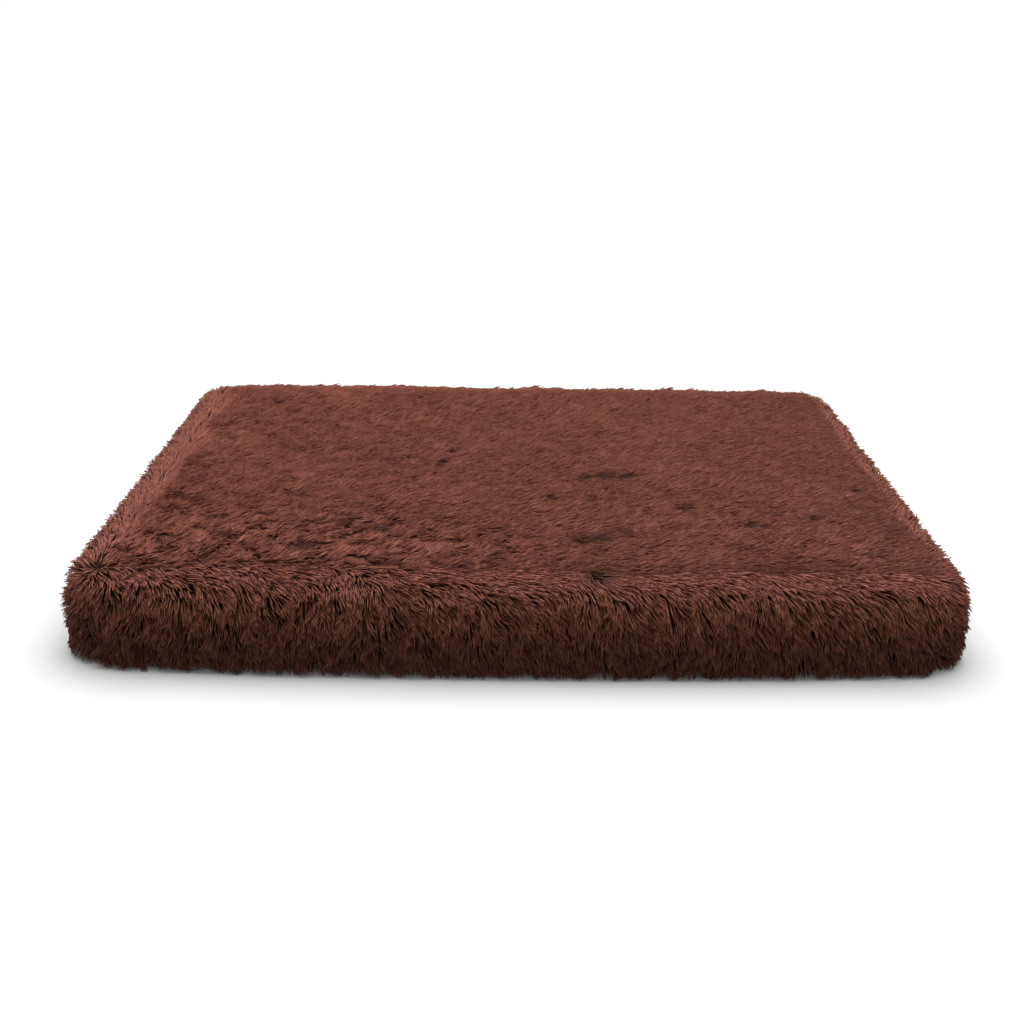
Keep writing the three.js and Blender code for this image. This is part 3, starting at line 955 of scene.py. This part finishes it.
roots, normals = spread_roots(body, lock_density, SEED + 5)
bend, tip, clump = lock_curves(roots, normals, SEED + 11)
tones = lock_tones(roots, clump, SEED + 21)
sideways = np.abs(normals[:, 0]) > np.abs(normals[:, 1])
shoulder = normals[:, 2] > 0.45
forward, left = normals[:, 1] < 0, normals[:, 0] < 0
front_edge = (normals[:, 1] < -0.05) & ~sideways
regions = {
    ("front_edge_pile", "top_fur_panel"): shoulder & front_edge,
    ("other_edge_pile", "top_fur_panel"): shoulder & ~front_edge,
    ("front_pile", "front_fur_boxing"): ~shoulder & ~sideways & forward,
    ("left_pile", "left_fur_boxing"): ~shoulder & sideways & left,
    ("right_pile", "right_fur_boxing"): ~shoulder & sideways & ~left,
    ("back_pile", "back_fur_strip"): ~shoulder & ~sideways & ~forward,
}
for index, ((name, node), inside) in enumerate(regions.items()):
    plant(
        name, node, np.flatnonzero(inside), (roots, bend, tip), tones,
        WALL_STATIONS, WALL_WIDTHS, SEED + 31 + index,
    )

# %% [markdown]
# ## The filling
#
# A thin lining holds two layers of foam. All of it is hidden, but the cover comes off, so each
# layer has its real form: the lining follows the backing, a little inside it, and the upper
# foam is convoluted, with rows of rounded bumps.


# %% Lining and foam materials
def woven_cloth(name, warp, weft, pitch, depth, slope=1.0, roughness=0.9):
    """Threads that cross over and under each other.

    The height is sin(pi u / pitch) times sin(pi v / pitch), where u is x and v is
    y + z + (1 - slope) x. Taking y + z lets the same cloth serve a level panel and an upright
    one. A slope of 1 makes a plain weave, and a slope of 0 the diagonal ribs of a twill.
    """
    material, tree, shader = new_material(name, warp, roughness, Sheen_Weight=0.15, Sheen_Roughness=0.5)
    where = add_node(tree, "ShaderNodeTexCoord")
    split = add_node(tree, "ShaderNodeSeparateXYZ", inputs={0: where.outputs["Object"]})

    def calculated(operation, *values):
        node = add_node(tree, "ShaderNodeMath", {"operation": operation}, dict(enumerate(values)))
        return node.outputs[0]

    level = calculated("ADD", split.outputs["Y"], split.outputs["Z"])
    slanted = calculated("MULTIPLY_ADD", split.outputs["X"], 1 - slope, level)
    waves_of_thread = [
        calculated("SINE", calculated("MULTIPLY", run, math.pi / pitch))
        for run in (split.outputs["X"], slanted)
    ]
    height = add_node(tree, "ShaderNodeMapRange", inputs={
        "Value": calculated("MULTIPLY", *waves_of_thread),
        "From Min": -1.0,
        "From Max": 1.0,
    }).outputs["Result"]
    slub = add_texture(tree, "ShaderNodeTexNoise", 1 / (14 * MM), Detail=4.0)
    share = calculated("MULTIPLY", height, slub.outputs["Fac"])
    tinted(tree, shader, share, ((0.1, weft), (0.6, warp)))
    bumped(tree, shader, height, depth)
    return material


def open_cell_foam(name, colour, shade):
    """Polyurethane foam, cut from a block: matt, with painted shade in the pits of burst cells."""
    material, tree, shader = new_material(name, colour, 0.95)
    # Real cells are under 0.5 mm; they are drawn at 1.2 mm so that they show.
    cells = add_texture(tree, "ShaderNodeTexVoronoi", 1 / (1.2 * MM)).outputs["Distance"]
    # Painted shade: the colour darkens towards the middle of each cell's pit.
    tinted(tree, shader, cells, ((0.1, shade), (0.5, colour)))
    bumped(tree, shader, cells, 0.5 * MM)
    return material


# %% Lining and foam
LINING_INSIDE = 3 * MM
liner = add_object("liner_bag", coarse_backing)
coarse_backing.name = "liner_bag"
coarse_backing.materials.clear()
# Lining is woven at about 30 threads to the centimetre; 0.7 mm lets the weave show.
lining = woven_cloth("polyester_lining", "#dcd9d2", "#c4c0b8", 0.7 * MM, 0.1 * MM)
coarse_backing.materials.append(lining)
store_vertices(liner, settle(vertex_array(liner)))
store_vertices(liner, vertex_array(liner) - vertex_array(liner, "normal") * LINING_INSIDE)
shade_smooth(coarse_backing)
settle_in(liner, "cushion", ["liner_cover", "liner_base"])

# The foam is cut a little under its CAD size, and its upper layer is cut in waves both ways.
FOAM_INSET = 3.5 * MM
FOAM_CORNER = 38 * MM
CUT_EDGE = 1 * MM
BUMP_PITCH = 51 * MM
BUMP_DEPTH = 13 * MM

low, high = span("support_foam")
core = skin(slab_rings(
    high[0] - FOAM_INSET, high[1] - FOAM_INSET, low[2] + CUT_EDGE, high[2], FOAM_CORNER,
    6 * MM, CUT_EDGE,
))
foam = mesh_object("foam_core", *core, open_cell_foam("support_polyurethane", "#e9d9a8", "#c9b67f"))
settle_in(foam, "cushion", ["support_foam"])

low, high = span("comfort_foam")
rings = slab_rings(
    high[0] - FOAM_INSET, high[1] - FOAM_INSET, low[2], high[2], FOAM_CORNER,
    CUT_EDGE, 20 * MM, corner_points=12, side_points=48, cap_rings=56,
)
wave = np.cos(rings[..., :2] * 2 * np.pi / BUMP_PITCH).prod(-1)
raised = smoothstep(0, 1, (rings[..., 2] - low[2]) / (high[2] - low[2]))
rings[..., 2] -= raised * (0.5 - 0.5 * wave) * BUMP_DEPTH
blue_foam = open_cell_foam("comfort_polyurethane", "#c9d6e2", "#a3b4c4")
foam = mesh_object("foam_topper", *skin(rings), blue_foam)
settle_in(foam, "cushion", ["comfort_foam"])

# %% [markdown]
# ## The canvas base
#
# Fur underneath would be walked flat and would slide, so the base is a plain-weave canvas with
# small printed dots of silicone that grip the floor. The dots stand on a lattice of equal
# triangles, which spreads the grip evenly.

# %% Base panel and grip dots
DOT_HEIGHT = 0.45 * MM
base_edge = (base_high[2] - base_low[2] - DOT_HEIGHT) / 2
# Canvas of this weight has about 12 threads to the centimetre.
canvas = woven_cloth("plain_weave_canvas", "#4a352d", "#33241e", 0.85 * MM, 0.3 * MM)
base = mesh_object("canvas_base", *skin(slab_rings(
    REACH_X, REACH_Y, base_low[2] + DOT_HEIGHT, base_high[2], CORNER, base_edge, base_edge,
    cap_rings=24,
)), canvas)
settle_in(base, "cushion", ["base_panel"])


def silicone():
    """Screen-printed silicone: slightly glossy, soft-edged and near black."""
    material, tree, shader = new_material("printed_silicone", "#171413", 0.4)
    dust = add_texture(tree, "ShaderNodeTexNoise", 1 / (6 * MM), Detail=3.0)
    tinted(tree, shader, dust.outputs["Fac"], ((0.3, "#141110"), (0.7, "#2a2523")))
    return material


def dot_lattice(pitch, margin):
    """Places on a triangular lattice, inside the base's outline less a margin."""
    rows = np.arange(-40, 41)
    row, column = np.meshgrid(rows, rows, indexing="ij")
    plan = np.stack([(column + 0.5 * (row % 2)) * pitch, row * pitch * math.sqrt(0.75)], -1)
    plan = plan.reshape(-1, 2)
    past = np.maximum(np.abs(plan) - (REACH_X - CORNER, REACH_Y - CORNER), 0)
    inside = np.linalg.norm(past, axis=1) < CORNER - margin
    return np.concatenate([plan[inside], np.zeros((inside.sum(), 1))], 1)


DOT_SIDES = 6
DOT_PITCH, DOT_MARGIN = 16 * MM, 14 * MM
turn = np.linspace(0, 2 * np.pi, DOT_SIDES + 1)[:-1]
circle = np.stack([np.cos(turn), np.sin(turn)], 1)
profile = ((1.6 * MM, 0.03 * MM), (2.0 * MM, DOT_HEIGHT + 0.1 * MM))
dot = skin(np.stack([np.column_stack([circle * r, np.full(DOT_SIDES, z)]) for r, z in profile]))
places = dot_lattice(DOT_PITCH, DOT_MARGIN)
dots = mesh_object("grip_dots", *repeat(*dot, places), silicone())
settle_in(dots, "cushion", ["base_panel"])
print(len(places), "grip dots")

# %% [markdown]
# ## The zip
#
# The zip lies low on the back wall, under the overhang of the fur. Its two tapes are woven
# twill. Each row of teeth is one nylon thread wound into a flat coil, so it is made as a tube
# carried along a stretched helix. The small metal parts are plated zinc castings: they keep the
# form of their CAD solids, with their edges rounded over as a casting's are.


# %% Tubes and cloth strips
def tube(path, across, radius, sides):
    """A closed tube: a circle of the given radius round each point of the path (n, 3).

    across is a direction for each point that isn't along the path; the circle is spanned by it,
    made square to the path, and by its cross product with the path.
    """
    slope = unit(np.gradient(path, axis=0))
    a = unit(across - (across * slope).sum(1, keepdims=True) * slope)
    b = np.cross(slope, a)
    angle = np.linspace(0, 2 * np.pi, sides + 1)[:-1][:, None]
    return skin(path[:, None] + radius * (a[:, None] * np.cos(angle) + b[:, None] * np.sin(angle)))


def strip(low, high, edge, step=8 * MM, ripple=0.0):
    """A flat strip along X with rounded edges: a rounded rectangle in Y and Z, carried along X."""
    middle, size = (low + high) / 2, high - low
    section = rounded_outline(size[1] / 2, size[2] / 2, edge, corner_points=3, side_points=4)
    inner = np.linspace(low[0] + edge, high[0] - edge, max(4, int(size[0] / step)))
    x = np.concatenate([[low[0]], inner, [high[0]]])
    taper = np.ones(len(x))
    taper[[0, -1]] = 1 - edge / size[1:].max()
    rings = np.zeros((len(x), len(section), 3))
    rings[..., 0] = x[:, None]
    rings[..., 1:] = section[None] * taper[:, None, None] + middle[1:]
    swell = waves(rings.reshape(-1, 3) * (1, 0, 1), 0.03, SEED + 50)
    rings[..., 1] += ripple * swell.reshape(len(x), -1)
    return skin(rings)


TAPE_EDGE, CANVAS_EDGE = 0.2 * MM, 0.5 * MM
# The tape has about 20 threads to the centimetre, drawn at 0.7 mm so that they show.
twill = woven_cloth("twill_polyester_tape", "#412c26", "#2c1d18", 0.7 * MM, 0.15 * MM, slope=0.0)


def lay_strip(name, node, cloth, material_slot, edge, **form):
    """Put a strip in the place of a CAD node's box."""
    piece = mesh_object(name, *strip(*span(node), edge, **form), cloth)
    settle_in(piece, "cushion", [node])


for node in ("upper_zip_tape", "lower_zip_tape"):
    lay_strip(f"{node}_cloth", node, twill, "zip_tape", TAPE_EDGE)
lay_strip("canvas_facing", "back_lower_facing", canvas, "base_canvas", CANVAS_EDGE, ripple=0.1 * MM)
for node in ("left_zip_end_tab", "right_zip_end_tab"):
    lay_strip(f"{node}_cloth", node, canvas, "base_canvas", CANVAS_EDGE, step=3 * MM)


# %% Coils
def nylon():
    """Drawn nylon monofilament: smooth and half glossy, with slightly uneven dye."""
    material, tree, shader = new_material("nylon_monofilament", "#4a332b", 0.35, IOR=1.53)
    dye = add_texture(tree, "ShaderNodeTexNoise", 1 / (5 * MM))
    tinted(tree, shader, dye.outputs["Fac"], ((0.3, "#3d2822"), (0.7, "#553c32")))
    return material


# The nylon thread's radius, and the way from one turn to the next.
THREAD = 0.32 * MM
COIL_PITCH = 1.27 * MM
POINTS_A_TURN = 10
nylon_thread = nylon()


def coil(node):
    """x grows evenly while y and z go round an ellipse: a helix stretched along the zip."""
    low, high = span(node)
    middle, size = (low + high) / 2, high - low - 2 * THREAD
    turns = size[0] / COIL_PITCH
    t = np.linspace(0, 1, int(turns * POINTS_A_TURN))
    angle = t * turns * 2 * np.pi
    round_about = np.stack([0 * t, np.cos(angle), np.sin(angle)], 1)
    path = middle + round_about * size / 2
    path[:, 0] = low[0] + THREAD + t * size[0]
    return tube(path, round_about, THREAD, 4)


for name in ("upper_zip_coil", "lower_zip_coil"):
    row = mesh_object(f"{name}_helix", *coil(name), nylon_thread)
    settle_in(row, "cushion", [name])
    print(name, len(row.data.polygons), "triangles")


# %% Metal parts
def plated_zinc():
    """Antique-plated die-cast zinc: brown-black plating, rubbed brighter in soft patches."""
    material, tree, shader = new_material("antique_plated_zinc", "#6e5a4c", 0.35, Metallic=1.0)
    wear = add_texture(tree, "ShaderNodeTexNoise", 1 / (3 * MM), Detail=5.0).outputs["Fac"]
    tinted(tree, shader, wear, ((0.35, "#4d3d33"), (0.6, "#8b7464")))
    rough = add_node(tree, "ShaderNodeMapRange", inputs={
        "Value": wear,
        "To Min": 0.5,
        "To Max": 0.25,
    })
    tree.links.new(rough.outputs["Result"], shader.inputs["Roughness"])
    bumped(tree, shader, wear, 0.05 * MM, 0.3)
    return material


zinc = plated_zinc()


def casting(node, rides, name, edge):
    """A merged copy of a CAD solid with its sharp edges rounded by a bevel."""
    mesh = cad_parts[node].data.copy()
    shape = bmesh.new()
    shape.from_mesh(mesh)
    bmesh.ops.remove_doubles(shape, verts=shape.verts, dist=0.01 * MM)
    bmesh.ops.dissolve_limit(shape, angle_limit=math.radians(1), verts=shape.verts, edges=shape.edges)
    bmesh.ops.recalc_face_normals(shape, faces=shape.faces)
    shape.to_mesh(mesh)
    shape.free()
    mesh.materials.clear()
    mesh.materials.append(zinc)
    piece = add_object(name, mesh)
    bevel = piece.modifiers.new("cast_edges", "BEVEL")
    bevel.width = edge
    bevel.segments = 2
    bevel.limit_method = "ANGLE"
    bevel.angle_limit = math.radians(35)
    bevel.harden_normals = True
    shade_smooth(mesh)
    return settle_in(piece, rides, [node])


casting("zip_slider_body", "zip_slider", "slider_casting", 0.25 * MM)
casting("zip_pull_tab", "pull_tab", "pull_tab_casting", 0.25 * MM)
for name in ("upper_top_stop", "lower_top_stop", "bottom_stop"):
    casting(name, "cushion", f"{name}_crimp", 0.3 * MM)

# %% [markdown]
# ## Stitches and the label
#
# Topstitching holds the tapes, the facing and the tabs. Each stitch is one short arc of thread
# that dives into the cloth at both ends, and a seam is a row of them. The care label is a blank
# strip of satin that hangs from the seam over the end of the zip.


# %% Thread
def sewing_thread():
    """Spun polyester thread: two plies twisted together, with painted shade between them and painted
    light on their crests, as slanted dark and light bands.
    """
    material, tree, shader = new_material("spun_polyester_thread", "#5a4238", 0.75, Sheen_Weight=0.2)
    # On the diagonal this texture's bands are about 2 pi / 10 / scale apart, here 2 mm.
    plies = add_texture(tree, "ShaderNodeTexWave", 0.3 / MM, {"bands_direction": "DIAGONAL"})
    # Painted light and shade: the ply bands lighten and darken the thread's colour.
    tinted(tree, shader, plies.outputs["Fac"], ((0.2, "#3f2c25"), (0.8, "#6d5246")))
    bumped(tree, shader, plies.outputs["Fac"], 0.1 * MM)
    return material


STITCH = 3.2 * MM
STITCH_GAP = 0.8 * MM
STITCH_RISE = 0.28 * MM
THREAD_RADIUS = 0.24 * MM
thread = sewing_thread()


def stitch(direction):
    """A low arc along a direction in X and Z: out by a sine, so that its ends are in the cloth."""
    t = np.linspace(0, 1, 6)
    path = np.outer(t - 0.5, np.array(direction) * STITCH)
    path[:, 1] += STITCH_RISE * (np.sin(np.pi * t) - 0.35)
    return tube(path, np.broadcast_to((0.0, 1.0, 0.0), path.shape), THREAD_RADIUS, 5)


def seam(start, end):
    """A row of stitches from start to end, evenly spaced."""
    start, end = np.array(start), np.array(end)
    run = np.linalg.norm(end - start)
    count = max(1, round((run + STITCH_GAP) / (STITCH + STITCH_GAP)))
    share = (np.arange(count) + 0.5) / count
    return repeat(*stitch((end - start) / run), start + share[:, None] * (end - start))


def sew(name, seams, nodes):
    """Join several seams into one piece of thread."""
    points, faces, total = [], [], 0
    for start, end in seams:
        more_points, more_faces = seam(start, end)
        points.append(more_points)
        faces.append(more_faces + total)
        total += len(more_points)
    piece = mesh_object(name, np.concatenate(points), np.concatenate(faces), thread)
    return settle_in(piece, "cushion", nodes)


FROM_EDGE = 3 * MM
facing_low, facing_high = span("back_lower_facing")
lower_low, lower_high = span("lower_zip_tape")
rows = (
    (facing_high[1], facing_low[2] + FROM_EDGE),
    (facing_high[1], facing_high[2] - 2.5 * MM),
    (lower_high[1], lower_low[2] + 2 * MM),
    (tape_high[1], tape_high[2] - 2 * MM),
)
seam_half = ZIP_HALF - FROM_EDGE
seams = [((-seam_half, y, z), (seam_half, y, z)) for y, z in rows]
sew("zip_topstitching", seams, ["back_lower_facing"])


def box_stitch(node):
    """A rectangle of stitches just inside a tab's edge, with a cross from corner to corner."""
    low, high = span(node)
    (x0, _, z0), (x1, _, z1) = low + FROM_EDGE, high - FROM_EDGE
    y = high[1]
    a, b, c, d = (x0, y, z0), (x1, y, z0), (x1, y, z1), (x0, y, z1)
    return [(a, b), (b, c), (c, d), (d, a), (a, c), (b, d)]


tabs = ["left_zip_end_tab", "right_zip_end_tab"]
sew("end_tab_stitching", box_stitch(tabs[0]) + box_stitch(tabs[1]), tabs)


# %% Label
def satin():
    """Woven satin ribbon: long floats that lie side by side and shine across the weave."""
    material, tree, shader = new_material("woven_satin", "#ece9e1", 0.38, Anisotropic=0.5)
    # Satin floats are 0.1 mm wide; they are drawn at 0.4 mm, which is 2 pi / 20 / scale.
    floats = add_texture(
        tree, "ShaderNodeTexWave", 0.8 / MM, {"bands_direction": "Z"}, Distortion=1.5,
    ).outputs["Fac"]
    tinted(tree, shader, floats, ((0.0, "#dedad0"), (1.0, "#f3f1ea")))
    bumped(tree, shader, floats, 0.05 * MM)
    return material


LABEL_HALF_THICK = 0.17 * MM
LABEL_CURL = 2.6 * MM
LABEL_RIPPLE = 0.35 * MM
low, high = span("care_label")
size = high - low


def label_rings():
    """An upright sheet whose foot curls away from the bed as the square of its drop."""
    drop = np.linspace(0, 1, 24)[:, None]
    edge = LABEL_HALF_THICK - 0.01 * MM
    section = rounded_outline(size[0] / 2, LABEL_HALF_THICK, edge, corner_points=3, side_points=12)
    rings = np.zeros((len(drop), len(section), 3))
    rings[..., 0] = section[:, 0] + (low[0] + high[0]) / 2
    rings[..., 1] = section[:, 1] + low[1] + 0.2 * MM + LABEL_CURL * drop**2
    rings[..., 1] += LABEL_RIPPLE * np.sin(section[:, 0] * 2 * np.pi / size[0]) * drop
    rings[..., 2] = high[2] - drop * size[2]
    return rings


label = mesh_object("care_label_ribbon", *skin(label_rings()), satin())
settle_in(label, "cushion", ["care_label"])

# %% Finish
low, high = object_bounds()
print("visual box", [round(v, 4) for v in low], [round(v, 4) for v in high])
